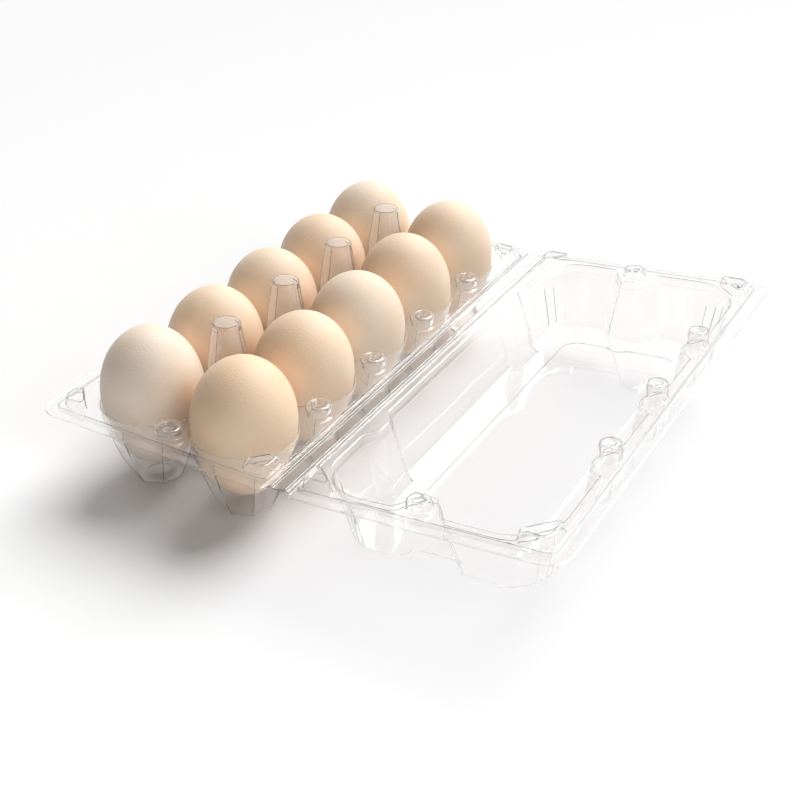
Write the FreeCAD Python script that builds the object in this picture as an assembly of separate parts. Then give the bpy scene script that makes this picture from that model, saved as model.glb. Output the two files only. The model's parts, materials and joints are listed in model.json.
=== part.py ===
"""Clear ten-egg carton, lying open with its eggs in it: tray, hinge strip, lid and ten eggs."""

import FreeCAD, Part
import math
import os

V = FreeCAD.Vector

# ---- Driving dimensions, mm and degrees ----
LENGTH = 245.0          # along the hinge
TRAY_WIDTH = 113.0      # hinge crease to outer edge
LID_WIDTH = 114.0
STRIP_WIDTH = 11.0      # between the two creases
SHEET = 0.4             # wall of the formed sheet
FLANGE = 6.0            # flat rim outside the step
DECK_RISE = 1.2         # the deck stands this much above the flange
CREASE_GAP = 0.5        # from a crease line to the panel beside it
LID_TILT = 5.7          # how far the open lid is lifted above flat

ROWS = 5
PITCH = 45.0            # between eggs along the hinge
COLUMN_X = (-30.0, -76.6)   # egg columns, measured from the tray's crease
CUP_DEPTH = 37.0        # flange to the inside of a cup's floor
CUP_SIDES = 24
CELL_RIM = 22.35        # radius of a cell's mouth

EGG_RADIUS = 21.6
EGG_TOP = 32.3          # above the flange
EGG_WAIST = 5.3
EGG_BOTTOM = -28.7

POST_FOOT = 9.8
POST_HEAD = 6.3
POST_TOP = 33.0         # above the flange

LID_DEPTH = 28.5        # flange to the inside of the lid's floor
LID_RIM_Y = 112.3       # half length of the lid's mouth
LID_HINGE_RIM = 5.7     # from the lid's crease to its mouth
LID_OUTER_RIM = 103.5
LOBE_RADIUS = 22.4
STUD_X = 102.4          # outer studs, from the lid's crease
STUD_PITCH = 51.0
END_STUD_X = 51.3
END_STUD_Y = 109.5
PILLAR_Y = 63.0

FLANGE_Z = CUP_DEPTH + SHEET    # height of the tray's flange above the table
LID_REACH = (STRIP_WIDTH + LID_WIDTH) * math.cos(math.radians(LID_TILT))
CREASE_X = (TRAY_WIDTH - LID_REACH) / 2.0   # centres the open carton on X = 0


def polygon_face(points):
    return Part.Face(Part.makePolygon(points + points[:1]))


def skin(rings):
    """Closed solid through rings of equal point count; each ring lies in one level plane."""
    faces = [polygon_face(rings[0]), polygon_face(rings[-1])]
    count = len(rings[0])
    for low, high in zip(rings, rings[1:]):
        for i in range(count):
            j = (i + 1) % count
            faces.append(polygon_face([low[i], low[j], high[j]]))
            faces.append(polygon_face([low[i], high[j], high[i]]))
    solid = Part.makeSolid(Part.makeShell(faces))
    if solid.Volume < 0:
        solid.reverse()
    return solid


def revolve(profile, x, y):
    """Solid of revolution of (radius, z) points about the upright line through x, y."""
    points = [V(x + r, y, z) for r, z in profile]
    return polygon_face(points).revolve(V(x, y, 0), V(0, 0, 1), 360)


def offset_outline(points, distance):
    """Moves every side of a counter-clockwise outline outwards."""
    moved = []
    count = len(points)
    for i in range(count):
        x0, y0 = points[i - 1]
        x1, y1 = points[i]
        x2, y2 = points[(i + 1) % count]
        a = math.hypot(x1 - x0, y1 - y0)
        b = math.hypot(x2 - x1, y2 - y1)
        n1 = ((y1 - y0) / a, -(x1 - x0) / a)
        n2 = ((y2 - y1) / b, -(x2 - x1) / b)
        k = distance / (1.0 + n1[0] * n2[0] + n1[1] * n2[1])
        moved.append((x1 + k * (n1[0] + n2[0]), y1 + k * (n1[1] + n2[1])))
    return moved


def ring(outline, z):
    return [V(x, y, z) for x, y in outline]


def arc(cx, cy, radius, start, end, steps):
    """Points along an arc, angles in degrees, both ends included."""
    angles = [math.radians(start + (end - start) * i / steps) for i in range(steps + 1)]
    return [(cx + radius * math.cos(a), cy + radius * math.sin(a)) for a in angles]


def rounded_rectangle(x0, x1, half_y, radius_low, radius_high):
    """Outline with corners of radius_low at x0 and radius_high at x1."""
    a, b = radius_low, radius_high
    return (
        arc(x0 + a, -half_y + a, a, 180, 270, 6)
        + arc(x1 - b, -half_y + b, b, 270, 360, 6)
        + arc(x1 - b, half_y - b, b, 0, 90, 6)
        + arc(x0 + a, half_y - a, a, 90, 180, 6)
    )


def stepped_rim(x0, x1, radius_low, radius_high):
    """Flange, step and deck as one solid plate with no openings yet."""
    half = LENGTH / 2.0
    inset = FLANGE
    flange = skin([
        ring(rounded_rectangle(x0, x1, half, radius_low, radius_high), -SHEET / 2),
        ring(rounded_rectangle(x0, x1, half, radius_low, radius_high), SHEET / 2),
    ])
    foot = rounded_rectangle(x0 + inset, x1 - inset, half - inset, 4.0, 4.0)
    head = offset_outline(foot, -DECK_RISE / 2)
    raised = skin([ring(foot, -SHEET / 2), ring(head, DECK_RISE + SHEET / 2)])
    hollow = skin([
        ring(offset_outline(foot, -SHEET), -SHEET),
        ring(offset_outline(head, -SHEET), DECK_RISE - SHEET / 2),
    ])
    return flange.fuse(raised).cut(hollow)


def cup_outline(radius, flute, x, y):
    """Regular outline; every third corner is pulled in by flute to make shallow ribs."""
    points = []
    for i in range(CUP_SIDES):
        r = radius - (flute if i % 3 == 0 else 0.0)
        a = 2 * math.pi * i / CUP_SIDES
        points.append((x + r * math.cos(a), y + r * math.sin(a)))
    return points


def cup(x, y, extra):
    """Tapering cup, grown outwards by extra."""
    deck = DECK_RISE + SHEET / 2
    levels = [
        (9.6, -CUP_DEPTH, 0.0),
        (10.6, -CUP_DEPTH + 1.5, 0.0),
        (13.4, -28.0, 0.8),
        (16.2, -20.0, 0.6),
        (19.15, -12.0, 0.0),
        (20.8, -6.0, 0.0),
        (22.15, 0.0, 0.0),
        (CELL_RIM, deck, 0.0),
    ]
    rings = []
    for radius, z, flute in levels:
        floor_drop = extra if z == -CUP_DEPTH else 0.0
        rings.append(ring(cup_outline(radius + extra, flute, x, y), z - floor_drop))
    if extra == 0.0:
        rings.append(ring(cup_outline(CELL_RIM, 0.0, x, y), deck + 8.0))
    return skin(rings)


def post(x, y, inset):
    """Eight-sided hollow post between four eggs; inset 0 is its outside."""
    base = -SHEET if inset else 0.0
    rings = []
    for radius, z in ((POST_FOOT, base), (POST_HEAD, POST_TOP - inset)):
        outline = []
        for i in range(8):
            a = math.radians(22.5 + 45.0 * i)
            outline.append((x + (radius - inset) * math.cos(a), y + (radius - inset) * math.sin(a)))
        rings.append(ring(outline, z))
    return skin(rings)


def button(x, y, radius, height):
    """Hollow snap button with a dished top, standing on the deck: (outside, inside)."""
    deck = DECK_RISE + SHEET / 2
    top = height
    outside = [
        (0, 0), (radius, 0), (radius, deck), (radius * 1.02, top - 1.6), (radius * 0.86, top),
        (radius * 0.62, top), (radius * 0.48, top - 1.0), (0, top - 1.0),
    ]
    inner = radius - SHEET
    inside = [
        (0, -SHEET), (inner, -SHEET), (inner, deck - SHEET), (radius * 1.02 - SHEET, top - 1.8),
        (radius * 0.86 - 0.3, top - SHEET), (radius * 0.62 + 0.2, top - SHEET),
        (radius * 0.48 + 0.2, top - 1.0 - SHEET), (0, top - 1.0 - SHEET),
    ]
    return revolve(outside, x, y), revolve(inside, x, y)


def stud(x, y, foot, head, height):
    """Hollow cone with a flat top: (outside, inside)."""
    outside = [(0, 0), (foot, 0), (foot, DECK_RISE + SHEET / 2), (head, height), (0, height)]
    inside = [
        (0, -SHEET), (foot - SHEET, -SHEET), (foot - SHEET, DECK_RISE - SHEET / 2),
        (head - SHEET, height - SHEET), (0, height - SHEET),
    ]
    return revolve(outside, x, y), revolve(inside, x, y)


def corner_block(x, y, sx, sy, reach, cell_x, cell_y, cell_radius, height):
    """Raised block in a deck corner; sx and sy point to the corner, its inner side follows the cell."""
    parts = []
    for inset, base, top in ((0.0, 0.0, height), (SHEET, -SHEET, height - SHEET)):
        rings = []
        for z, shrink in ((base, inset), (top, inset + 1.0)):
            low, high = -reach + shrink, -shrink
            outline = [(low, low), (high, low)] + arc(high - 4, high - 4, 4, 0, 90, 4) + [(low, high)]
            points = [(x + sx * px, y + sy * py) for px, py in outline]
            rings.append(ring(points, z))
        block = skin(rings)
        keep_out = Part.makeCylinder(cell_radius + inset, 60, V(cell_x, cell_y, -30))
        parts.append(block.cut(keep_out))
    return parts


def make_tray():
    """Tray in its own frame: crease at x = 0, flange at z = 0."""
    half = LENGTH / 2.0
    body = stepped_rim(-TRAY_WIDTH, -CREASE_GAP, 9.0, 4.0)
    adds, cuts = [], []
    for x in COLUMN_X:
        for row in range(ROWS):
            y = (row - (ROWS - 1) / 2) * PITCH
            adds.append(cup(x, y, SHEET))
            cuts.append(cup(x, y, 0.0))
    middle = sum(COLUMN_X) / 2
    for gap in range(ROWS - 1):
        y = (gap - (ROWS - 2) / 2) * PITCH
        adds.append(post(middle, y, 0.0))
        cuts.append(post(middle, y, SHEET))
        outside, inside = button(-8.0, y, 5.5, 5.6)
        adds.append(outside)
        cuts.append(inside)
    for sy in (-1, 1):
        outside, inside = button(middle, sy * 113.0, 6.0, 5.1)
        adds.append(outside)
        cuts.append(inside)
        last = sy * PITCH * (ROWS - 1) / 2
        corner_y = sy * (half - FLANGE - 1.5)
        for sx, corner_x, cell_x in ((-1, -TRAY_WIDTH + FLANGE + 1.5, COLUMN_X[1]),
                                     (1, -FLANGE - 1.5, COLUMN_X[0])):
            outside, inside = corner_block(corner_x, corner_y, sx, sy, 17.0, cell_x, last, 24.2, 5.0)
            adds.append(outside)
            cuts.append(inside)
    body = body.multiFuse(adds)
    return body.cut(Part.makeCompound(cuts)).removeSplitter()


def lid_outline(level):
    """Mouth of the lid at level 0 and its floor at level 1, counter-clockwise."""
    def mix(a, b):
        return a + (b - a) * level
    hinge = mix(LID_HINGE_RIM, 10.0)
    outer = mix(LID_OUTER_RIM, 98.5)
    end = mix(LID_RIM_Y, 109.0)
    waist = mix(101.0, 99.0)
    radius = mix(LOBE_RADIUS, 19.5)
    near = arc(hinge + radius, -end + radius, radius, 180, 270, 7)
    near += [(41.0, -end), (48.3, -waist), (54.3, -waist), (61.6, -end)]
    near += arc(outer - 1.6 - radius, -end + radius, radius, 270, 357, 7)
    right = []
    for k in (-1, 0, 1):
        y = k * STUD_PITCH
        face = mix(96.7, 91.5)
        right += [(outer, y - 12.2), (face, y - 5.2), (face, y + 5.2), (outer, y + 12.2)]
    far = arc(outer - 1.6 - radius, end - radius, radius, 3, 90, 7)
    far += [(61.6, end), (54.3, waist), (48.3, waist), (41.0, end)]
    far += arc(hinge + radius, end - radius, radius, 90, 180, 7)
    left = []
    for side in (1, -1):
        tip = mix(11.0, 16.0)
        narrow = mix(3.5, 6.5)
        y = side * PILLAR_Y
        left += [(hinge, y + 11.0), (tip, y + narrow), (tip, y - narrow), (hinge, y - 11.0)]
    return near + right + far + left


def lid_shell(extra):
    """Cavity of the lid, grown outwards by extra."""
    deck = DECK_RISE + SHEET / 2
    rings = []
    for level, z in ((1.35, -LID_DEPTH), (0.92, -LID_DEPTH + 4.5), (0.0, deck)):
        outline = lid_outline(level)
        if extra:
            outline = offset_outline(outline, extra)
        drop = extra if z == -LID_DEPTH else 0.0
        rings.append(ring(outline, z - drop))
    if not extra:
        rings.append(ring(lid_outline(0.0), deck + 8.0))
    return skin(rings)


def make_lid():
    """Lid in its own frame: crease at x = 0, flange at z = 0, opening upwards."""
    half = LENGTH / 2.0
    body = stepped_rim(CREASE_GAP, LID_WIDTH, 4.0, 9.0)
    adds, cuts = [lid_shell(SHEET)], [lid_shell(0.0)]
    for k in (-1, 0, 1):
        outside, inside = stud(STUD_X, k * STUD_PITCH, 5.6, 4.7, 6.5)
        adds.append(outside)
        cuts.append(inside)
    for sy in (-1, 1):
        outside, inside = stud(END_STUD_X, sy * END_STUD_Y, 6.2, 4.8, 5.3)
        adds.append(outside)
        cuts.append(inside)
        corner_y = sy * (half - FLANGE - 1.5)
        lobe_y = sy * (LID_RIM_Y - LOBE_RADIUS)
        for sx, corner_x, lobe_x in ((1, LID_WIDTH - FLANGE - 1.5, LID_OUTER_RIM - 1.6 - LOBE_RADIUS),
                                     (-1, FLANGE + 1.5, LID_HINGE_RIM + LOBE_RADIUS)):
            outside, inside = corner_block(corner_x, corner_y, sx, sy, 15.0, lobe_x, lobe_y, 23.6, 5.0)
            adds.append(outside)
            cuts.append(inside)
    body = body.multiFuse(adds)
    return body.cut(Part.makeCompound(cuts)).removeSplitter()


def make_strip():
    """Flat strip between the two creases."""
    half = LENGTH / 2.0
    return Part.makeBox(STRIP_WIDTH - 2 * CREASE_GAP, LENGTH - 8.0, SHEET,
                        V(CREASE_GAP, -half + 4.0, -SHEET / 2))


def make_egg(x, y):
    """Egg standing blunt end up: two half ovals that meet at its waist."""
    steps = 10
    points = []
    for i in range(steps + 1):
        a = math.pi / 2 * i / steps
        points.append(V(x + EGG_RADIUS * math.sin(a), y, EGG_WAIST - (EGG_WAIST - EGG_BOTTOM) * math.cos(a)))
    for i in range(1, steps + 1):
        a = math.pi / 2 * i / steps
        points.append(V(x + EGG_RADIUS * math.cos(a), y, EGG_WAIST + (EGG_TOP - EGG_WAIST) * math.sin(a)))
    curve = Part.BSplineCurve()
    curve.interpolate(points, InitialTangent=V(1, 0, 0), FinalTangent=V(-1, 0, 0))
    side = Part.Wire([curve.toShape(), Part.makeLine(points[-1], points[0])])
    solid = Part.Face(side).revolve(V(x, y, 0), V(0, 0, 1), 360)
    return Part.makeSolid(solid.Shells[0]) if solid.ShapeType != "Solid" else solid


def place(shape, tilt):
    """Turns a panel up about the tray's crease, then moves it to its place above the table."""
    shape.rotate(V(0, 0, 0), V(0, 1, 0), -tilt)
    shape.translate(V(CREASE_X, 0, FLANGE_Z))
    return shape


def save(name, shape):
    shape.exportStep("parts/" + name + ".step")
    print(name, shape.ShapeType, "solids", len(shape.Solids), "valid", shape.isValid(),
          "volume %.0f" % shape.Volume)


def main():
    os.makedirs("parts", exist_ok=True)
    save("tray", place(make_tray(), 0.0))
    save("hinge_strip", place(make_strip(), LID_TILT))
    lid = make_lid()
    lid.translate(V(STRIP_WIDTH, 0, 0))
    save("lid", place(lid, LID_TILT))
    number = 1
    for x in COLUMN_X:
        for row in range(ROWS):
            y = (row - (ROWS - 1) / 2) * PITCH
            save("egg_%d" % number, place(make_egg(x, y), 0.0))
            number += 1


main()
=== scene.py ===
"""Looks for the clear egg carton: formed sheet panels, eggs, studio."""

import json
import math

import bpy
from mathutils import Matrix, Vector, noise
from mathutils.geometry import delaunay_2d_cdt


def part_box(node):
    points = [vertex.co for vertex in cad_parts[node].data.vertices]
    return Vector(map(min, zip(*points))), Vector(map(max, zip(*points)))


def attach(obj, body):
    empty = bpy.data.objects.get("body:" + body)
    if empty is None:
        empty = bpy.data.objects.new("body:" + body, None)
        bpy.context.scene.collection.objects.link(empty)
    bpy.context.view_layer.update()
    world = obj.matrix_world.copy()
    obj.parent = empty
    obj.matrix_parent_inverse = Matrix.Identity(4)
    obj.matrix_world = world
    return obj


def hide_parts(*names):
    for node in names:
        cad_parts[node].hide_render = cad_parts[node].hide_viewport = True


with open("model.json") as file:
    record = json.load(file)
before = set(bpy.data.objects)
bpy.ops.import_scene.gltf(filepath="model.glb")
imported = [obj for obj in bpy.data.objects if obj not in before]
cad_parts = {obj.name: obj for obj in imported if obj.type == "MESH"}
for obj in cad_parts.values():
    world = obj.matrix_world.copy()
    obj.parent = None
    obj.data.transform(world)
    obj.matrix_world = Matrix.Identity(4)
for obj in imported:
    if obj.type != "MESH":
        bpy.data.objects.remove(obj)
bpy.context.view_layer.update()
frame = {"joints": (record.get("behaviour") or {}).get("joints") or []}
MM = 0.001

# ---- Driving sizes in millimetres, in each panel's own frame: crease at x = 0, flange at z = 0 ----
# Whole carton
LENGTH = 245.0
TRAY_WIDTH = 113.0
LID_WIDTH = 114.0
STRIP_WIDTH = 11.0
SHEET = 0.4             # thickness of the formed sheet
CREASE_GAP = 0.45       # from each panel's edge to its crease line
FLANGE = 6.0
HINGE_FLANGE = 1.2      # narrow flange beside the hinge
DECK = 1.2              # the deck's height above the flange
OUTER_CORNER = 9.0      # corner radius of a panel, away from the hinge
HINGE_CORNER = 3.5      # and beside the hinge
DECK_CORNER = 3.4
MOST_OF_SIDE = 0.97     # share of an outline's side that its two rounded corners may take
SHARP_EDGE = 32         # degrees; gentler edges are shaded smooth

# Tray
ROWS = 5
PITCH = 45.0            # from egg to egg along the carton
COLUMNS = (-30.0, -76.6)
MIDDLE = sum(COLUMNS) / 2
CUP_DEPTH = 37.0
CUP_SPREAD = 0.45       # added to every radius of the cup's wall
RIB_HEIGHT = 0.8        # how far a cup's ribs stand out
RIB_WIDTH = 0.07        # their half width, in radians round the cup
LIP_RADIUS = 23.9
LIP_ROUND = 1.6         # radius of the bend at a cup's lip
LIP_TURN = 86           # degrees that a lip bends through
TRAY_BUTTON_X = -8.2
TRAY_END_BUTTON_Y = 109.9
TRAY_BLOCK_HEIGHT = 4.7

# Lid
LID_DEPTH = 28.5
BOWL_LIP = 1.2          # radius of the bend at the bowl's lip
BOWL_STEP = 0.7         # the walls stand this far inside the lip
WALL_TOP = -3.0         # height at which the bowl's sloping walls start
BOWL_FOOT = -24.0       # and at which they bend into the floor
FOOT_LEVEL = 0.88       # share of the walls' slope used down to there
FLOOR_LEVEL = 1.35      # and at the floor
PANEL_RISE = 0.4        # height of the label panel on the floor
FLUTE = 0.8             # depth of the grooves in the bowl's corners
FACETS = 5              # flat faces round each of those corners
FLUTED_STEPS = 40       # points round such a corner
FLUTE_FADE = 0.12       # share of the corner over which the grooves fade at its ends
GROOVE_WIDTH = 0.13     # half width of a groove, as a share of a face
STUD_PITCH = 51.0
STUD_X = 102.6
END_STUD_X = 51.3
END_STUD_Y = 109.5
PILLAR_Y = 63.0
LID_BLOCK_HEIGHT = 5.5
BLOCK_SHRINK = 0.13     # how much narrower a corner block's top is than its foot

# Hinge strip
BEAD_START = 0.95       # from the strip's edge to its bead
BEAD_WIDTH = 1.7
BEAD_HEIGHT = 0.75

# Eggs
EGG_WAIST_SHARE = 0.557     # height of an egg's widest part, from its foot
EGG_UNEVEN = 0.003          # share of its size by which a shell's surface wanders
EGG_UNEVEN_SCALE = 40       # waves per metre of that

# ---- Studio ----
KEY_DIRECTION = (0.08, 0.62, 0.78)      # towards the main lamp
KEY_STRENGTH = 3.12
KEY_ANGLE = 40                          # degrees
FILL_DIRECTION = (0.82, -0.2, 0.55)
FILL_WATTS = 6.0
FILL_SIZE = 0.8                         # metres
LAMP_DISTANCE = 1.5                     # metres
CARD_DIRECTION = (-0.42, 0.907, 0.0)    # side on which the white card stands
FLOOR_HALF = 3.0                        # metres
CAMERA_PLACE = (252.64, -475.49, 310.58)    # from the middle of the tray's crease, in millimetres
CAMERA_ANGLES = (30.45, 29.84, 0.11)    # azimuth, elevation and roll, in degrees
CAMERA_SHIFT = (0.0469, -0.063)

# Places that come from the frame: the two crease lines
JOINTS = {j["name"]: j for j in frame["joints"]}
TRAY_CREASE = Vector(JOINTS["tray_crease"]["pos_m"])
LID_CREASE = Vector(JOINTS["lid_crease"]["pos_m"])
LID_TILT = math.atan2(LID_CREASE.z - TRAY_CREASE.z, LID_CREASE.x - TRAY_CREASE.x)


def lerp(a, b, t):
    return a + (b - a) * t


def smooth(t):
    t = max(0.0, min(1.0, t))
    return t * t * (3.0 - 2.0 * t)


def table(points, z):
    """Value at z of a list of (z, value) pairs with falling z."""
    for (z0, v0), (z1, v1) in zip(points, points[1:]):
        if z >= z1:
            return lerp(v0, v1, (z0 - z) / (z0 - z1))
    return points[-1][1]


# ---- A formed sheet: rings of points, welded where they meet ----
class Sheet:
    """Points and faces of one sheet's middle surface, in millimetres."""

    def __init__(self):
        self.points = []
        self.index = {}
        self.faces = []

    def vertex(self, p):
        key = (round(p[0], 3), round(p[1], 3), round(p[2], 3))
        if key not in self.index:
            self.index[key] = len(self.points)
            self.points.append(p)
        return self.index[key]

    def face(self, corners):
        ids = []
        for p in corners:
            i = self.vertex(p)
            if i not in ids:
                ids.append(i)
        if len(ids) > 2:
            self.faces.append(ids)

    def rings(self, rings, cap=True):
        """Joins closed rings in turn, and closes the last one with a fan."""
        for a, b in zip(rings, rings[1:]):
            n = len(a)
            for i in range(n):
                j = (i + 1) % n
                self.face((a[i], a[j], b[j], b[i]))
        if cap:
            last = rings[-1]
            n = len(last)
            middle = tuple(sum(p[k] for p in last) / n for k in range(3))
            for i in range(n):
                self.face((last[i], last[(i + 1) % n], middle))

    def fill(self, outer, holes, height=DECK):
        """Fills between one outline and its holes; every point keeps its own height."""
        flat, edges, lookup = [], [], {}
        source = []
        for outline in [outer] + holes:
            ids = []
            for p in outline:
                key = (round(p[0], 3), round(p[1], 3))
                if key not in lookup:
                    lookup[key] = len(flat)
                    flat.append(Vector((p[0], p[1])))
                    source.append(p)
                if not ids or ids[-1] != lookup[key]:
                    ids.append(lookup[key])
            edges += [(a, b) for a, b in zip(ids, ids[1:] + ids[:1]) if a != b]
        verts, _, tris, origin, _, _ = delaunay_2d_cdt(flat, edges, [], 1, 1e-4)
        for tri in tris:
            x = sum(verts[i].x for i in tri) / len(tri)
            y = sum(verts[i].y for i in tri) / len(tri)
            if not inside(x, y, outer) or any(inside(x, y, hole) for hole in holes):
                continue
            corners = []
            for i in tri:
                o = origin[i][0] if origin[i] else None
                corners.append(source[o] if o is not None else (verts[i].x, verts[i].y, height))
            a, b, c = corners[:3]
            if (b[0] - a[0]) * (c[1] - a[1]) - (b[1] - a[1]) * (c[0] - a[0]) < 0:
                corners.reverse()
            self.face(corners)


def inside(x, y, outline):
    """Whether a point lies inside a closed outline."""
    odd = False
    x0, y0 = outline[-1][0], outline[-1][1]
    for p in outline:
        x1, y1 = p[0], p[1]
        if (y0 > y) != (y1 > y) and x < (x1 - x0) * (y - y0) / (y1 - y0) + x0:
            odd = not odd
        x0, y0 = x1, y1
    return odd


def rounded(corners, steps, side=1):
    """Outline through (x, y, radius) corners, counter-clockwise, with the same point count at any size.

    steps divides each corner's arc, and side the straight line after it. A fourth value flutes a large corner:
    its arc becomes flat faces with grooves of that depth between.
    """
    n = len(corners)
    sides = [math.dist(corners[i][:2], corners[(i + 1) % n][:2]) for i in range(n)]
    ways, halves, cuts = [], [], []     # each corner's ways to its neighbours, half angle, length cut off
    for i in range(n):
        p0, p1, p2 = corners[i - 1], corners[i], corners[(i + 1) % n]
        a = Vector((p0[0] - p1[0], p0[1] - p1[1])).normalized()
        b = Vector((p2[0] - p1[0], p2[1] - p1[1])).normalized()
        ways.append((a, b))
        halves.append(math.acos(max(-1.0, min(1.0, a.dot(b)))) / 2)
        cuts.append(p1[2] / math.tan(halves[i]))
    fits = [min(1.0, MOST_OF_SIDE * sides[i] / (cuts[i] + cuts[(i + 1) % n])) for i in range(n)]
    arcs = []
    for i in range(n):
        p1 = corners[i]
        a, b = ways[i]
        cut = cuts[i] * min(fits[i - 1], fits[i])
        r = cut * math.tan(halves[i])
        corner = Vector(p1[:2])
        centre = corner + (a + b).normalized() * math.hypot(cut, r)
        start = corner + a * cut - centre
        turn = -start.angle_signed(corner + b * cut - centre)
        flute = p1[3] if len(p1) > 3 else None
        count = steps if flute is None else FLUTED_STEPS
        arc = []
        for k in range(count + 1):
            t = k / count
            c, s = math.cos(turn * t), math.sin(turn * t)
            scale = 1.0
            if flute:
                off = (t * FACETS + 0.5) % 1.0 - 0.5
                ends = smooth(t / FLUTE_FADE) * smooth((1 - t) / FLUTE_FADE)
                scale = math.cos(turn / FACETS / 2) / math.cos((0.5 - abs(off)) * turn / FACETS)
                scale -= flute * ends * math.exp(-(off / GROOVE_WIDTH) ** 2) / r
            arc.append((centre.x + (start.x * c - start.y * s) * scale,
                        centre.y + (start.x * s + start.y * c) * scale))
        arcs.append(arc)
    points = []
    for i in range(n):
        points += arcs[i]
        (x0, y0), (x1, y1) = arcs[i][-1], arcs[(i + 1) % n][0]
        points += [(lerp(x0, x1, k / side), lerp(y0, y1, k / side)) for k in range(1, side)]
    return points


def grow(points, distance):
    """Moves an outline outwards along its normals."""
    out = []
    n = len(points)
    for i in range(n):
        x0, y0 = points[i - 1]
        x1, y1 = points[(i + 1) % n]
        length = math.hypot(x1 - x0, y1 - y0) or 1.0
        out.append((points[i][0] + (y1 - y0) / length * distance,
                    points[i][1] - (x1 - x0) / length * distance))
    return out


def lift(points, z):
    return [(x, y, z) for x, y in points]


def rectangle(x0, x1, half_y, low, high):
    """Panel outline with corner radius low at x0 and high at x1."""
    return rounded([(x0, -half_y, low), (x1, -half_y, high), (x1, half_y, high), (x0, half_y, low)], 10)


def rim(sheet, x0, x1, radii, insets):
    """Step and flange round the deck; returns the deck's edge."""
    half = LENGTH / 2
    edge = (x0, x1, half)
    inner = (x0 + insets[0], x1 - insets[1], half - FLANGE)
    rings = []
    step = [    # outwards from the deck's edge, height
        (0.0, DECK), (0.3, DECK), (0.5, DECK - 0.04), (0.65, DECK - 0.2), (0.78, DECK - 0.5),
        (0.9, 0.35), (1.05, 0.1), (1.3, 0.0), (1.6, 0.0),
    ]
    for out, z in step:
        r = DECK_CORNER + out
        rings.append(lift(rectangle(inner[0] - out, inner[1] + out, inner[2] + out, r, r), z))
    for back, z in ((0.7, 0.0), (0.35, -0.03), (0.1, -0.14), (0.0, -0.34)):
        rings.append(lift(rectangle(edge[0] + back, edge[1] - back, edge[2] - back,
                                    radii[0] - back, radii[1] - back), z))
    sheet.rings([list(reversed(r)) for r in rings], cap=False)
    return rings[0]


def cell_edge(angle, near_x, near_y):
    """Radius of a cell's lip, cut short where it meets a neighbour."""
    c, s = math.cos(angle), math.sin(angle)
    radius = LIP_RADIUS
    for reach, along in ((near_x[0], -c), (near_x[1], c), (near_y[0], -s), (near_y[1], s)):
        if reach and along > 1e-6:
            radius = min(radius, reach / along)
    return radius


CUP_WALL = [    # height, radius
    (DECK - LIP_ROUND, 22.3), (-6.0, 20.95), (-12.0, 19.3), (-20.0, 16.7), (-28.0, 13.9),
    (-34.5, 11.6), (-36.0, 10.7), (-36.8, 9.4), (-CUP_DEPTH, 7.9),
]


def cup(sheet, x, y, near_x, near_y):
    """One tapering cup: round at its lip, eight-sided and ribbed lower down."""
    count = 96
    angles = [2 * math.pi * i / count for i in range(count)]
    rings = []
    for share in (0.0, 0.03, 0.15, 0.35, 0.6, 0.8, 1.0):
        ring = []
        for a in angles:
            edge = cell_edge(a, near_x, near_y)
            start = math.asin(max(0.0, min(1.0, (LIP_RADIUS - edge) / LIP_ROUND)))
            turn = lerp(start, math.radians(LIP_TURN), share)
            r = LIP_RADIUS - LIP_ROUND * math.sin(turn)
            z = DECK - LIP_ROUND * (1 - math.cos(turn))
            ring.append((x + r * math.cos(a), y + r * math.sin(a), z))
        rings.append(ring)
    levels = [-1.6, -3.4, -5.2, -7.0, -9.5, -12.5, -16.0, -20.0, -24.0, -28.0, -31.5, -34.0,
              -35.3, -36.1, -36.6, -36.9, -CUP_DEPTH]
    for z in levels:
        ring = []
        for a in angles:
            turn = (a + math.pi / 8) % (math.pi / 4) - math.pi / 8      # from the nearest of eight corners
            flat = math.cos(math.pi / 8) / math.cos(math.pi / 8 - abs(turn))
            morph = smooth((-z - 3.0) / 24.0)
            rib = math.exp(-(turn / RIB_WIDTH) ** 2) * smooth((-z - 3.0) / 4.0) * smooth((z + 34.0) / 6.0)
            r = table(CUP_WALL, z) * lerp(1.0, flat, morph) + CUP_SPREAD + RIB_HEIGHT * rib
            ring.append((x + r * math.cos(a), y + r * math.sin(a), z))
        rings.append(ring)
    for r, rise in ((6.2, 0.0), (5.6, 0.25), (5.0, 0.6), (2.5, 0.7)):
        rings.append([(x + r * math.cos(a), y + r * math.sin(a), -CUP_DEPTH + rise) for a in angles])
    sheet.rings(rings)
    return rings[0]


def turned(sheet, x, y, profile, notch=None):
    """Boss of (radius, height) rings; notch is the direction, depth and half width of a cut in its side."""
    rings = []
    count = 48
    for radius, z in profile:
        ring = []
        for i in range(count):
            a = 2 * math.pi * i / count
            r = radius
            if notch:
                toward, depth, half_width = notch
                off = (a - toward + math.pi) % (2 * math.pi) - math.pi
                rise = smooth((z - DECK) / 1.6)
                r -= radius * depth * rise * max(0.0, 1 - abs(off) / half_width)
            ring.append((x + r * math.cos(a), y + r * math.sin(a), z))
        rings.append(ring)
    sheet.rings(rings)
    return rings[0]


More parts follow.
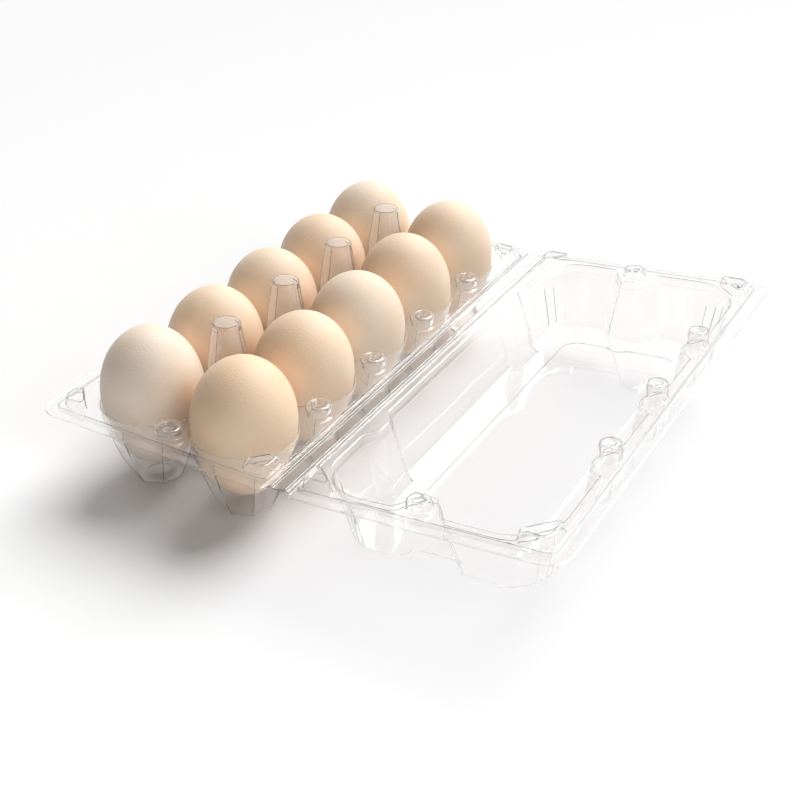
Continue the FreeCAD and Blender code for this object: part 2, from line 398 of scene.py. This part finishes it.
def post(sheet, x, y):
    """Tall tapering hollow post; its lower sides hollow in towards the four eggs round it."""
    profile = [     # radius towards the gaps between eggs, radius towards the eggs, height
        (12.3, 8.2, DECK), (12.0, 8.0, DECK), (11.6, 7.9, DECK + 0.15), (11.2, 8.0, DECK + 0.7),
        (11.0, 8.4, 3.5), (10.7, 9.1, 8.0), (9.6, 8.7, 14.0), (8.4, 7.9, 20.0), (7.2, 6.95, 26.0),
        (6.4, 6.3, 30.0), (6.15, 6.1, 31.0), (6.3, 6.25, 31.4), (6.25, 6.2, 32.1), (6.0, 5.95, 32.7),
        (5.6, 5.55, 33.0), (5.1, 5.05, 33.0), (2.5, 2.5, 33.0),
    ]
    rings = []
    count = 64
    for wide, narrow, z in profile:
        ring = []
        for i in range(count):
            a = 2 * math.pi * i / count
            turn = a % (math.pi / 4) - math.pi / 8
            flat = math.cos(math.pi / 8) / math.cos(turn)
            r = (wide + narrow) / 2 + (wide - narrow) / 2 * math.cos(4 * a)
            r *= lerp(1.0, flat, 0.75 * smooth((z - 2.0) / 6.0))
            ring.append((x + r * math.cos(a), y + r * math.sin(a), z))
        rings.append(ring)
    sheet.rings(rings)
    return rings[0]


def button_profile(r, height):
    """Squat mushroom: necked foot, rounded head, cratered top."""
    foot = [(r + 0.7, DECK), (r + 0.45, DECK), (r - 0.2, DECK + 0.12), (r - 0.75, DECK + 0.5),
            (r - 1.0, DECK + 1.2), (r - 0.75, DECK + 1.8)]
    head = [(r - 0.05, height - 2.1), (r + 0.12, height - 1.5), (r, height - 0.9), (r - 0.45, height - 0.35),
            (r - 1.1, height - 0.03), (r - 1.6, height)]
    crater = [(0.60 * r, height - 0.2), (0.53 * r, height - 0.7), (0.47 * r, height - 1.5),
              (0.38 * r, height - 1.9), (0.25 * r, height - 1.95), (0.12 * r, height - 1.7)]
    return foot + head + crater


def stud_profile(foot, head, height):
    """Truncated cone with a flared foot and a shallow dish in its top."""
    flare = [(foot + 1.1, DECK), (foot + 0.85, DECK), (foot + 0.4, DECK + 0.12), (foot + 0.12, DECK + 0.45),
             (foot - 0.08, DECK + 1.0)]
    top = [(head + 0.3, height - 1.3), (head + 0.1, height - 0.65), (head - 0.3, height - 0.15),
           (head - 0.85, height)]
    dish = [(head * 0.66, height), (head * 0.55, height - 0.2), (head * 0.47, height - 0.6),
            (head * 0.15, height - 0.65)]
    return flare + top + dish


def block(sheet, corners, height):
    """Raised block with a shallow dish in its top, from its base outline of (x, y, radius) corners."""
    base = rounded(corners, 6, 3)
    cx = sum(p[0] for p in base) / len(base)
    cy = sum(p[1] for p in base) / len(base)
    profile = [     # share of the base outline's size, height
        (1.07, DECK), (1.05, DECK), (1.01, DECK + 0.12), (0.99, DECK + 0.6),
        (1.01 - BLOCK_SHRINK, height - 0.8), (1.0 - BLOCK_SHRINK, height - 0.4),
        (0.97 - BLOCK_SHRINK, height - 0.1), (0.92 - BLOCK_SHRINK, height), (0.84 - BLOCK_SHRINK, height),
        (0.81 - BLOCK_SHRINK, height - 0.12), (0.77 - BLOCK_SHRINK, height - 0.35), (0.2, height - 0.4),
    ]
    rings = [[(lerp(cx, x, scale), lerp(cy, y, scale), z) for x, y in base] for scale, z in profile]
    sheet.rings(rings)
    return rings[0]


def mirrored(corners):
    """The same outline at the other end of the carton, kept counter-clockwise."""
    return [(x, -y, r) for x, y, r in reversed(corners)]


def tray_sheet():
    """Tray: rim, ten cups, four posts, six buttons and four corner blocks, joined by the deck."""
    sheet = Sheet()
    outer = rim(sheet, -TRAY_WIDTH, -CREASE_GAP, (OUTER_CORNER, HINGE_CORNER), (FLANGE, HINGE_FLANGE))
    holes = []
    gap_x = (COLUMNS[0] - COLUMNS[1]) / 2
    for column, x in enumerate(COLUMNS):
        for row in range(ROWS):
            y = (row - (ROWS - 1) / 2) * PITCH
            near_x = (gap_x, 0) if column == 0 else (0, gap_x)
            near_y = (PITCH / 2 if row else 0, PITCH / 2 if row < ROWS - 1 else 0)
            holes.append(cup(sheet, x, y, near_x, near_y))
    for gap in range(ROWS - 1):
        y = (gap - (ROWS - 2) / 2) * PITCH
        holes.append(post(sheet, MIDDLE, y))
        holes.append(turned(sheet, TRAY_BUTTON_X, y, button_profile(5.4, 7.4)))
    for side in (-1, 1):
        holes.append(turned(sheet, MIDDLE, side * TRAY_END_BUTTON_Y, button_profile(5.8, 5.2)))
    outer_block = [(-106.2, -115.5, 5.5), (-94.4, -115.5, 2.6), (-94.4, -112.4, 2.4), (-102.8, -103.4, 2.6),
                   (-106.2, -103.4, 2.2)]
    hinge_block = [(-14.2, -115.5, 2.6), (-2.6, -115.5, 4.5), (-2.6, -103.4, 2.0), (-6.0, -103.4, 2.4),
                   (-14.2, -112.4, 2.4)]
    for corners in (outer_block, hinge_block):
        holes.append(block(sheet, corners, TRAY_BLOCK_HEIGHT))
        holes.append(block(sheet, mirrored(corners), TRAY_BLOCK_HEIGHT))
    sheet.fill(outer, holes)
    return sheet


def lid_corners(level, flute):
    """Control outline of the lid's bowl: mouth at level 0, foot of the walls at level 1."""
    hinge = lerp(5.9, 10.0, level)          # x of the wall beside the hinge
    outer = lerp(103.2, 97.0, level)        # x of the outer wall
    end = lerp(112.4, 106.8, level)         # y of the end walls
    waist = lerp(101.0, 98.6, level)        # y of the notch in each end wall, round its stud
    lobe = lerp(20.6, 16.6, level)          # corner radii
    soft = lerp(3.2, 3.0, level)
    crisp = lerp(2.2, 1.4, level)
    half = [
        (hinge, -end, lobe, flute),
        (lerp(41.0, 38.0, level), -end, soft),
        (lerp(48.0, 43.0, level), -waist, crisp),
        (lerp(54.6, 59.6, level), -waist, crisp),
        (lerp(61.9, 64.9, level), -end, soft),
        (outer, -end, lobe, flute),
    ]
    notches = []
    for k in (-1, 0, 1):
        y = k * STUD_PITCH
        face = lerp(96.8, 92.4, level)
        wide = lerp(5.0, 7.2, level)
        notches += [(outer, y - 12.4, soft), (face, y - wide, crisp),
                    (face, y + wide, crisp), (outer, y + 12.4, soft)]
    pillars = []
    for side in (1, -1):
        tip = lerp(10.6, 15.6, level)
        wide = lerp(3.6, 6.6, level)
        y = side * PILLAR_Y
        pillars += [(hinge, y + 11.0, soft), (tip, y + wide, crisp),
                    (tip, y - wide, crisp), (hinge, y - 11.0, soft)]
    return half + notches + [(p[0], -p[1]) + p[2:] for p in reversed(half)] + pillars


def bowl(sheet):
    """The lid's bowl, from its lip down to its raised label panel."""
    def outline(level, out, flute=0.0):
        return grow(rounded(lid_corners(level, flute), 8, 3), out)
    rings = [lift(outline(0.0, BOWL_LIP + 0.3), DECK)]
    for share in (0.0, 0.1, 0.3, 0.55, 0.8, 1.0):       # lip
        turn = math.radians(LIP_TURN) * share
        rings.append(lift(outline(0.0, BOWL_LIP * (1 - math.sin(turn))),
                          DECK - BOWL_LIP * (1 - math.cos(turn))))
    for z, out in ((-1.0, 0.0), (-1.8, -0.06), (-2.1, -0.22), (-2.25, -0.45), (-2.5, -0.62),
                   (WALL_TOP, -BOWL_STEP)):             # small step under the lip
        rings.append(lift(outline(0.0, out), z))
    for z in (-4.5, -6.5, -9.0, -12.0, -15.0, -18.0, -21.0, BOWL_FOOT):     # walls
        level = FOOT_LEVEL * (WALL_TOP - z) / (WALL_TOP - BOWL_FOOT)
        rings.append(lift(outline(level, -BOWL_STEP, FLUTE * smooth((WALL_TOP - z) / 4.0)), z))
    bends = 8
    for k in range(1, bends + 1):                       # bend into the floor
        turn = math.pi / 2 * k / bends
        level = FOOT_LEVEL + (FLOOR_LEVEL - FOOT_LEVEL) * (1 - math.cos(turn))
        rings.append(lift(outline(level, -BOWL_STEP, FLUTE * (1 - smooth(k / bends))),
                          BOWL_FOOT - (LID_DEPTH + BOWL_FOOT) * math.sin(turn)))
    rings.append(lift(outline(FLOOR_LEVEL, -BOWL_STEP - 0.4), -LID_DEPTH))
    sheet.rings(rings, cap=False)
    label = [(24.5, -88.0, 9.0), (47.0, -88.0, 6.0), (51.5, -84.0, 6.0), (56.0, -88.0, 6.0),
             (82.0, -88.0, 9.0)]
    base = rounded(label + mirrored(label), 6, 4)
    panel = [lift(grow(base, -inward), z - LID_DEPTH)
             for inward, z in ((-0.4, 0.0), (0.0, 0.0), (0.4, 0.04), (1.0, 0.2), (1.6, 0.36),
                               (2.0, PANEL_RISE), (2.4, PANEL_RISE))]
    sheet.rings(panel, cap=False)
    sheet.fill(rings[-1], [panel[0]], -LID_DEPTH)
    sheet.fill(panel[-1], [], PANEL_RISE - LID_DEPTH)
    return rings[0]


def lid_sheet():
    """Lid: rim, bowl, five studs and four corner blocks, joined by the deck."""
    sheet = Sheet()
    outer = rim(sheet, CREASE_GAP, LID_WIDTH, (HINGE_CORNER, OUTER_CORNER), (HINGE_FLANGE, FLANGE + 0.4))
    holes = [bowl(sheet)]
    for k in (-1, 0, 1):
        holes.append(turned(sheet, STUD_X, k * STUD_PITCH, stud_profile(4.2, 4.1, 8.4)))
    for side in (-1, 1):
        notch = (math.radians(90.0 if side < 0 else 270.0), 0.3, 0.7)
        holes.append(turned(sheet, END_STUD_X, side * END_STUD_Y, stud_profile(4.9, 4.5, 5.1), notch=notch))
    outer_block = [(92.4, -115.6, 3.0), (103.6, -115.6, 5.5), (106.8, -111.4, 5.0), (106.8, -101.4, 2.6),
                   (103.8, -101.4, 2.4), (92.4, -112.6, 2.4)]
    hinge_block = [(3.0, -115.8, 2.5), (16.4, -115.8, 1.4), (16.0, -113.6, 1.2), (6.0, -104.6, 1.4),
                   (3.0, -104.6, 1.4)]
    for corners in (outer_block, hinge_block):
        holes.append(block(sheet, corners, LID_BLOCK_HEIGHT))
        holes.append(block(sheet, mirrored(corners), LID_BLOCK_HEIGHT))
    sheet.fill(outer, holes)
    return sheet


def make_object(name, sheet, thickness):
    """Object of a sheet, thickened about its middle surface."""
    mesh = bpy.data.meshes.new(name)
    mesh.from_pydata([tuple(c * MM for c in p) for p in sheet.points], [], sheet.faces)
    mesh.validate()
    mesh.polygons.foreach_set("use_smooth", [True] * len(mesh.polygons))
    obj = bpy.data.objects.new(name, mesh)
    bpy.context.scene.collection.objects.link(obj)
    wall = obj.modifiers.new("wall", "SOLIDIFY")
    wall.thickness = thickness * MM
    wall.offset = 0.0
    wall.use_even_offset = False
    bpy.context.view_layer.update()
    graph = bpy.context.evaluated_depsgraph_get()
    solid = bpy.data.meshes.new_from_object(obj.evaluated_get(graph))
    obj.modifiers.clear()
    obj.data = solid
    solid.name = name
    solid.set_sharp_from_angle(angle=math.radians(SHARP_EDGE))
    return obj


def set_panel(obj, offset, tilt):
    """Puts a panel, made in its own frame, at an offset from the tray's crease and tilted about it."""
    turn = Matrix.Rotation(-tilt, 4, "Y")
    slide = Matrix.Translation(Vector((offset * MM, 0, 0)))
    obj.data.transform(Matrix.Translation(TRAY_CREASE) @ turn @ slide)


def strip_sheet():
    """Flat strip with a rounded bead along each crease."""
    sheet = Sheet()
    half = LENGTH / 2 - HINGE_CORNER
    section = [(CREASE_GAP, 0.0)]
    bead_steps, rows = 14, 60
    for i in range(bead_steps):
        t = i / bead_steps
        section.append((CREASE_GAP + BEAD_START + BEAD_WIDTH * t, BEAD_HEIGHT * math.sin(math.pi * t) ** 1.5))
    section += [(CREASE_GAP + BEAD_START + BEAD_WIDTH, 0.0), (CREASE_GAP + 3.0, 0.0)]
    section += [(STRIP_WIDTH - x, z) for x, z in reversed(section)]
    for k in range(rows):
        y0, y1 = lerp(-half, half, k / rows), lerp(-half, half, (k + 1) / rows)
        for (x0, z0), (x1, z1) in zip(section, section[1:]):
            sheet.face(((x0, y0, z0), (x1, y0, z1), (x1, y1, z1), (x0, y1, z0)))
    return sheet


# ---- Eggs ----
EGG_TONES = (0.1, 0.3, 0.75, 0.4, 0.5, 1.0, 0.35, 0.45, 0.4, 0.7)    # egg_1 to egg_10, from 0 warm to 1 pale

# Of each egg: radius and height beyond the plain one's in millimetres, tilt in degrees, and direction of the
# axis that it tilts about in degrees
EGG_SHAPES = {
    1: (0.60, 0.4, 2.0, 200), 2: (0.45, 0.3, 3.0, 80), 3: (0.50, -0.4, 2.5, 150), 4: (0.55, 0.4, 3.0, 300),
    5: (0.50, 0.2, 2.0, 20), 6: (0.45, 1.4, 3.0, 250), 7: (0.25, 0.2, 2.0, 120), 8: (0.20, 0.2, 3.5, 40),
    9: (0.20, -0.2, 2.0, 330), 10: (0.30, 0.5, 2.5, 180),
}


def egg(number):
    """Egg of its own slight shape in place of the plain one, blunt end up."""
    low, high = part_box("egg_%d" % number)
    wider, taller, tilt, toward = EGG_SHAPES[number]
    radius = (high.x - low.x) / 2 + wider * MM
    middle = (low + high) / 2
    waist = Vector((middle.x, middle.y, lerp(low.z, high.z, EGG_WAIST_SHARE)))
    up = high.z - waist.z + taller * MM
    down = waist.z - low.z
    seed = Vector((number * 3.7, number * 1.3, 9.1))        # a different stretch of noise for each egg
    around, along = 96, 64
    points, faces = [], []
    for i in range(1, along):
        a = math.pi * i / along
        for k in range(around):
            b = 2 * math.pi * k / around
            r = radius * math.sin(a)
            p = Vector((r * math.cos(b), r * math.sin(b), (up if a < math.pi / 2 else down) * math.cos(a)))
            points.append(p * (1 + EGG_UNEVEN * noise.noise(p * EGG_UNEVEN_SCALE + seed)))
    top = len(points)       # the two ends come last: top, then top + 1 at the bottom
    points += [Vector((0, 0, up)), Vector((0, 0, -down))]
    for i in range(along - 2):
        for k in range(around):
            n = (k + 1) % around
            faces.append((i * around + k, (i + 1) * around + k, (i + 1) * around + n, i * around + n))
    last = (along - 2) * around
    for k in range(around):
        n = (k + 1) % around
        faces.append((top, k, n))
        faces.append((top + 1, last + n, last + k))
    mesh = bpy.data.meshes.new("eggshell_%d" % number)
    mesh.from_pydata(points, [], faces)
    mesh.polygons.foreach_set("use_smooth", [True] * len(mesh.polygons))
    axis = Vector((math.cos(math.radians(toward)), math.sin(math.radians(toward)), 0))
    lean = Matrix.Rotation(math.radians(tilt), 4, axis)
    mesh.transform(Matrix.Translation(waist) @ lean)
    obj = bpy.data.objects.new("eggshell_%d" % number, mesh)
    bpy.context.scene.collection.objects.link(obj)
    return obj


# ---- Materials ----
# Colours of each end of an eggshell's blotches, for the warmest tone and the palest
DEEP_WARM, DEEP_PALE = (0.96, 0.655, 0.42), (0.96, 0.76, 0.59)
LIGHT_WARM, LIGHT_PALE = (0.98, 0.755, 0.53), (0.98, 0.85, 0.72)
SPECK_BROWN = (0.42, 0.22, 0.11, 1)


def nodes_of(name):
    """New material, its node tree and its main shader."""
    material = bpy.data.materials.new(name)
    material.use_nodes = True
    tree = material.node_tree
    return material, tree, tree.nodes["Principled BSDF"]


def put(node, values):
    """Sets a node's unlinked sockets."""
    for socket, value in values.items():
        node.inputs[socket].default_value = value


def add(tree, kind, values=(), operation=None):
    """New node of a kind, with some of its sockets set."""
    node = tree.nodes.new("ShaderNode" + kind)
    if operation:
        node.operation = operation
    put(node, dict(values))
    return node


def clear_sheet():
    """Clear PET: slightly wavy glossy surface; lamp light and matt surfaces see it as a faint grey tint."""
    material, tree, shader = nodes_of("clear_pet")
    put(shader, {"Base Color": (0.99, 0.985, 0.982, 1), "Roughness": 0.03, "IOR": 1.5,
                 "Transmission Weight": 0.97})
    place = add(tree, "TexCoord")
    wave = add(tree, "TexNoise", {"Scale": 60.0, "Detail": 3.0})
    bump = add(tree, "Bump", {"Strength": 0.07, "Distance": 0.0006})
    tree.links.new(place.outputs["Object"], wave.inputs["Vector"])
    tree.links.new(wave.outputs["Fac"], bump.inputs["Height"])
    tree.links.new(bump.outputs["Normal"], shader.inputs["Normal"])
    clear = add(tree, "BsdfTransparent", {"Color": (0.925, 0.925, 0.93, 1)})
    path = add(tree, "LightPath")
    surface = shader.outputs["BSDF"]
    for ray in ("Is Shadow Ray", "Is Diffuse Ray"):
        mix = add(tree, "MixShader")
        tree.links.new(path.outputs[ray], mix.inputs["Fac"])
        tree.links.new(surface, mix.inputs[1])
        tree.links.new(clear.outputs["BSDF"], mix.inputs[2])
        surface = mix.outputs["Shader"]
    tree.links.new(surface, tree.nodes["Material Output"].inputs["Surface"])
    return material


def tone_between(warm, pale, share):
    """Colour part of the way from the warm one to the pale one."""
    return tuple(lerp(a, b, share) for a, b in zip(warm, pale)) + (1,)


def eggshell(number):
    """Matt shell: cream to peach blotches, fine pores, a few brown specks."""
    material, tree, shader = nodes_of("eggshell_%d" % number)
    pale = EGG_TONES[number - 1]
    place = add(tree, "TexCoord")
    shift = add(tree, "Mapping", {"Location": (number * 1.7, number * 0.9, number * 2.3)})
    cloud = add(tree, "TexNoise", {"Scale": 40.0, "Detail": 5.0})
    tone = add(tree, "ValToRGB")
    deep, light = tone.color_ramp.elements
    deep.position, deep.color = 0.3, tone_between(DEEP_WARM, DEEP_PALE, pale)
    light.position, light.color = 0.75, tone_between(LIGHT_WARM, LIGHT_PALE, pale)
    speck = add(tree, "TexVoronoi", {"Scale": 230.0, "Randomness": 1.0})
    spot = add(tree, "MapRange", {"From Min": 0.05, "From Max": 0.13, "To Min": 0.75, "To Max": 0.0})
    rare = add(tree, "Math", {1: 0.93}, "GREATER_THAN")      # keeps one cell in fourteen
    both = add(tree, "Math", operation="MULTIPLY")
    mix = tree.nodes.new("ShaderNodeMix")
    mix.data_type = "RGBA"
    plain, brown, mixed = mix.inputs[6], mix.inputs[7], mix.outputs[2]      # its colour sockets
    brown.default_value = SPECK_BROWN
    pores = add(tree, "TexNoise", {"Scale": 1500.0, "Detail": 3.0})
    bump = add(tree, "Bump", {"Strength": 0.5, "Distance": 0.0004})
    rough = add(tree, "MapRange", {"To Min": 0.5, "To Max": 0.68})
    link = tree.links.new
    link(place.outputs["Object"], shift.inputs["Vector"])
    for texture in (cloud, speck, pores):
        link(shift.outputs["Vector"], texture.inputs["Vector"])
    link(cloud.outputs["Fac"], tone.inputs["Fac"])
    link(speck.outputs["Distance"], spot.inputs["Value"])
    link(speck.outputs["Color"], rare.inputs[0])
    link(spot.outputs["Result"], both.inputs[0])
    link(rare.outputs["Value"], both.inputs[1])
    link(both.outputs["Value"], mix.inputs["Factor"])
    link(tone.outputs["Color"], plain)
    link(mixed, shader.inputs["Base Color"])
    link(pores.outputs["Fac"], bump.inputs["Height"])
    link(bump.outputs["Normal"], shader.inputs["Normal"])
    link(cloud.outputs["Fac"], rough.inputs["Value"])
    link(rough.outputs["Result"], shader.inputs["Roughness"])
    put(shader, {"Subsurface Weight": 0.12, "Subsurface Radius": (0.003, 0.002, 0.0015),
                 "Subsurface Scale": 1.0, "Specular IOR Level": 0.55})
    return material


# ---- Studio ----
def ramp(tree, stops):
    """Grey ramp through (position, value) stops."""
    node = add(tree, "ValToRGB")
    elements = node.color_ramp.elements
    for i, (position, value) in enumerate(stops):
        element = elements[i] if i < 2 else elements.new(position)
        element.position = position
        element.color = (value, value, value, 1)
    return node


def sky():
    """Pale horizon, dim room, and a white card behind the tray that flat clear sheet mirrors."""
    world = bpy.data.worlds.new("studio")
    bpy.context.scene.world = world
    world.use_nodes = True
    tree = world.node_tree
    background = tree.nodes["Background"]
    place = add(tree, "TexCoord")
    split = add(tree, "SeparateXYZ")
    room = ramp(tree, ((0.0, 0.55), (0.08, 0.45), (0.2, 0.04), (0.75, 0.15)))
    card = ramp(tree, ((0.2, 0.0), (0.3, 0.95), (0.62, 0.95), (0.76, 0.0)))
    side = add(tree, "VectorMath", {1: CARD_DIRECTION}, "DOT_PRODUCT")
    width = add(tree, "MapRange", {"From Min": 0.58, "From Max": 0.74})      # soft ends of the card
    scaled = add(tree, "Math", operation="MULTIPLY")
    total = add(tree, "Math", operation="ADD")
    link = tree.links.new
    link(place.outputs["Generated"], split.inputs["Vector"])
    link(place.outputs["Generated"], side.inputs[0])
    link(split.outputs["Z"], room.inputs["Fac"])
    link(split.outputs["Z"], card.inputs["Fac"])
    link(side.outputs["Value"], width.inputs["Value"])
    link(card.outputs["Color"], scaled.inputs[0])
    link(width.outputs["Result"], scaled.inputs[1])
    link(scaled.outputs["Value"], total.inputs[0])
    link(room.outputs["Color"], total.inputs[1])
    link(total.outputs["Value"], background.inputs["Strength"])
    put(background, {"Color": (1.0, 0.995, 0.985, 1)})


def white_floor():
    """Matt white table top, which isn't part of the object."""
    floor = bpy.data.objects.new("floor", bpy.data.meshes.new("floor"))
    s = FLOOR_HALF
    floor.data.from_pydata([(-s, -s, 0), (s, -s, 0), (s, s, 0), (-s, s, 0)], [], [(0, 1, 2, 3)])
    bpy.context.scene.collection.objects.link(floor)
    material, _, shader = nodes_of("white_floor")
    put(shader, {"Base Color": (0.93, 0.93, 0.93, 1), "Roughness": 0.7, "Specular IOR Level": 0.1})
    floor.data.materials.append(material)


def lamp(name, kind, direction, strength):
    """Lamp that shines at the carton from a direction."""
    data = bpy.data.lights.new(name, kind)
    data.energy = strength
    obj = bpy.data.objects.new(name, data)
    obj.location = Vector(direction).normalized() * LAMP_DISTANCE
    obj.rotation_euler = Vector(direction).to_track_quat("Z", "Y").to_euler()
    bpy.context.scene.collection.objects.link(obj)
    return data


def studio():
    white_floor()
    sky()
    lamp("key", "SUN", KEY_DIRECTION, KEY_STRENGTH).angle = math.radians(KEY_ANGLE)
    lamp("fill", "AREA", FILL_DIRECTION, FILL_WATTS).size = FILL_SIZE


def camera():
    """Looks down at the open carton from beyond its near lid corner."""
    data = bpy.data.cameras.new("camera")
    data.sensor_width = 36.0
    data.lens = 62.27
    data.shift_x, data.shift_y = CAMERA_SHIFT
    obj = bpy.data.objects.new("camera", data)
    azimuth, elevation, roll = (math.radians(angle) for angle in CAMERA_ANGLES)
    obj.location = TRAY_CREASE + Vector(CAMERA_PLACE) * MM
    obj.rotation_euler = (Matrix.Rotation(azimuth, 3, "Z") @ Matrix.Rotation(math.pi / 2 - elevation, 3, "X")
                          @ Matrix.Rotation(roll, 3, "Z")).to_euler()
    bpy.context.scene.collection.objects.link(obj)
    bpy.context.scene.camera = obj


def main():
    """Makes the three panels, the ten eggs, the studio and the camera."""
    pet = clear_sheet()
    for name, sheet, offset, tilt in (
        ("tray", tray_sheet(), 0.0, 0.0),
        ("hinge_strip", strip_sheet(), 0.0, LID_TILT),
        ("lid", lid_sheet(), STRIP_WIDTH, LID_TILT),
    ):
        obj = make_object(name + "_sheet", sheet, SHEET)
        set_panel(obj, offset, tilt)
        obj.data.materials.append(pet)
        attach(obj, name)
        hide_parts(name)
    for number in range(1, 11):
        obj = egg(number)
        obj.data.materials.append(eggshell(number))
        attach(obj, "egg_%d" % number)
        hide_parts("egg_%d" % number)
    studio()
    camera()
    scene = bpy.context.scene
    scene.view_settings.view_transform = "Standard"
    scene.cycles.transparent_max_bounces = 32
    scene.cycles.transmission_bounces = 28
    scene.cycles.max_bounces = 32


main()
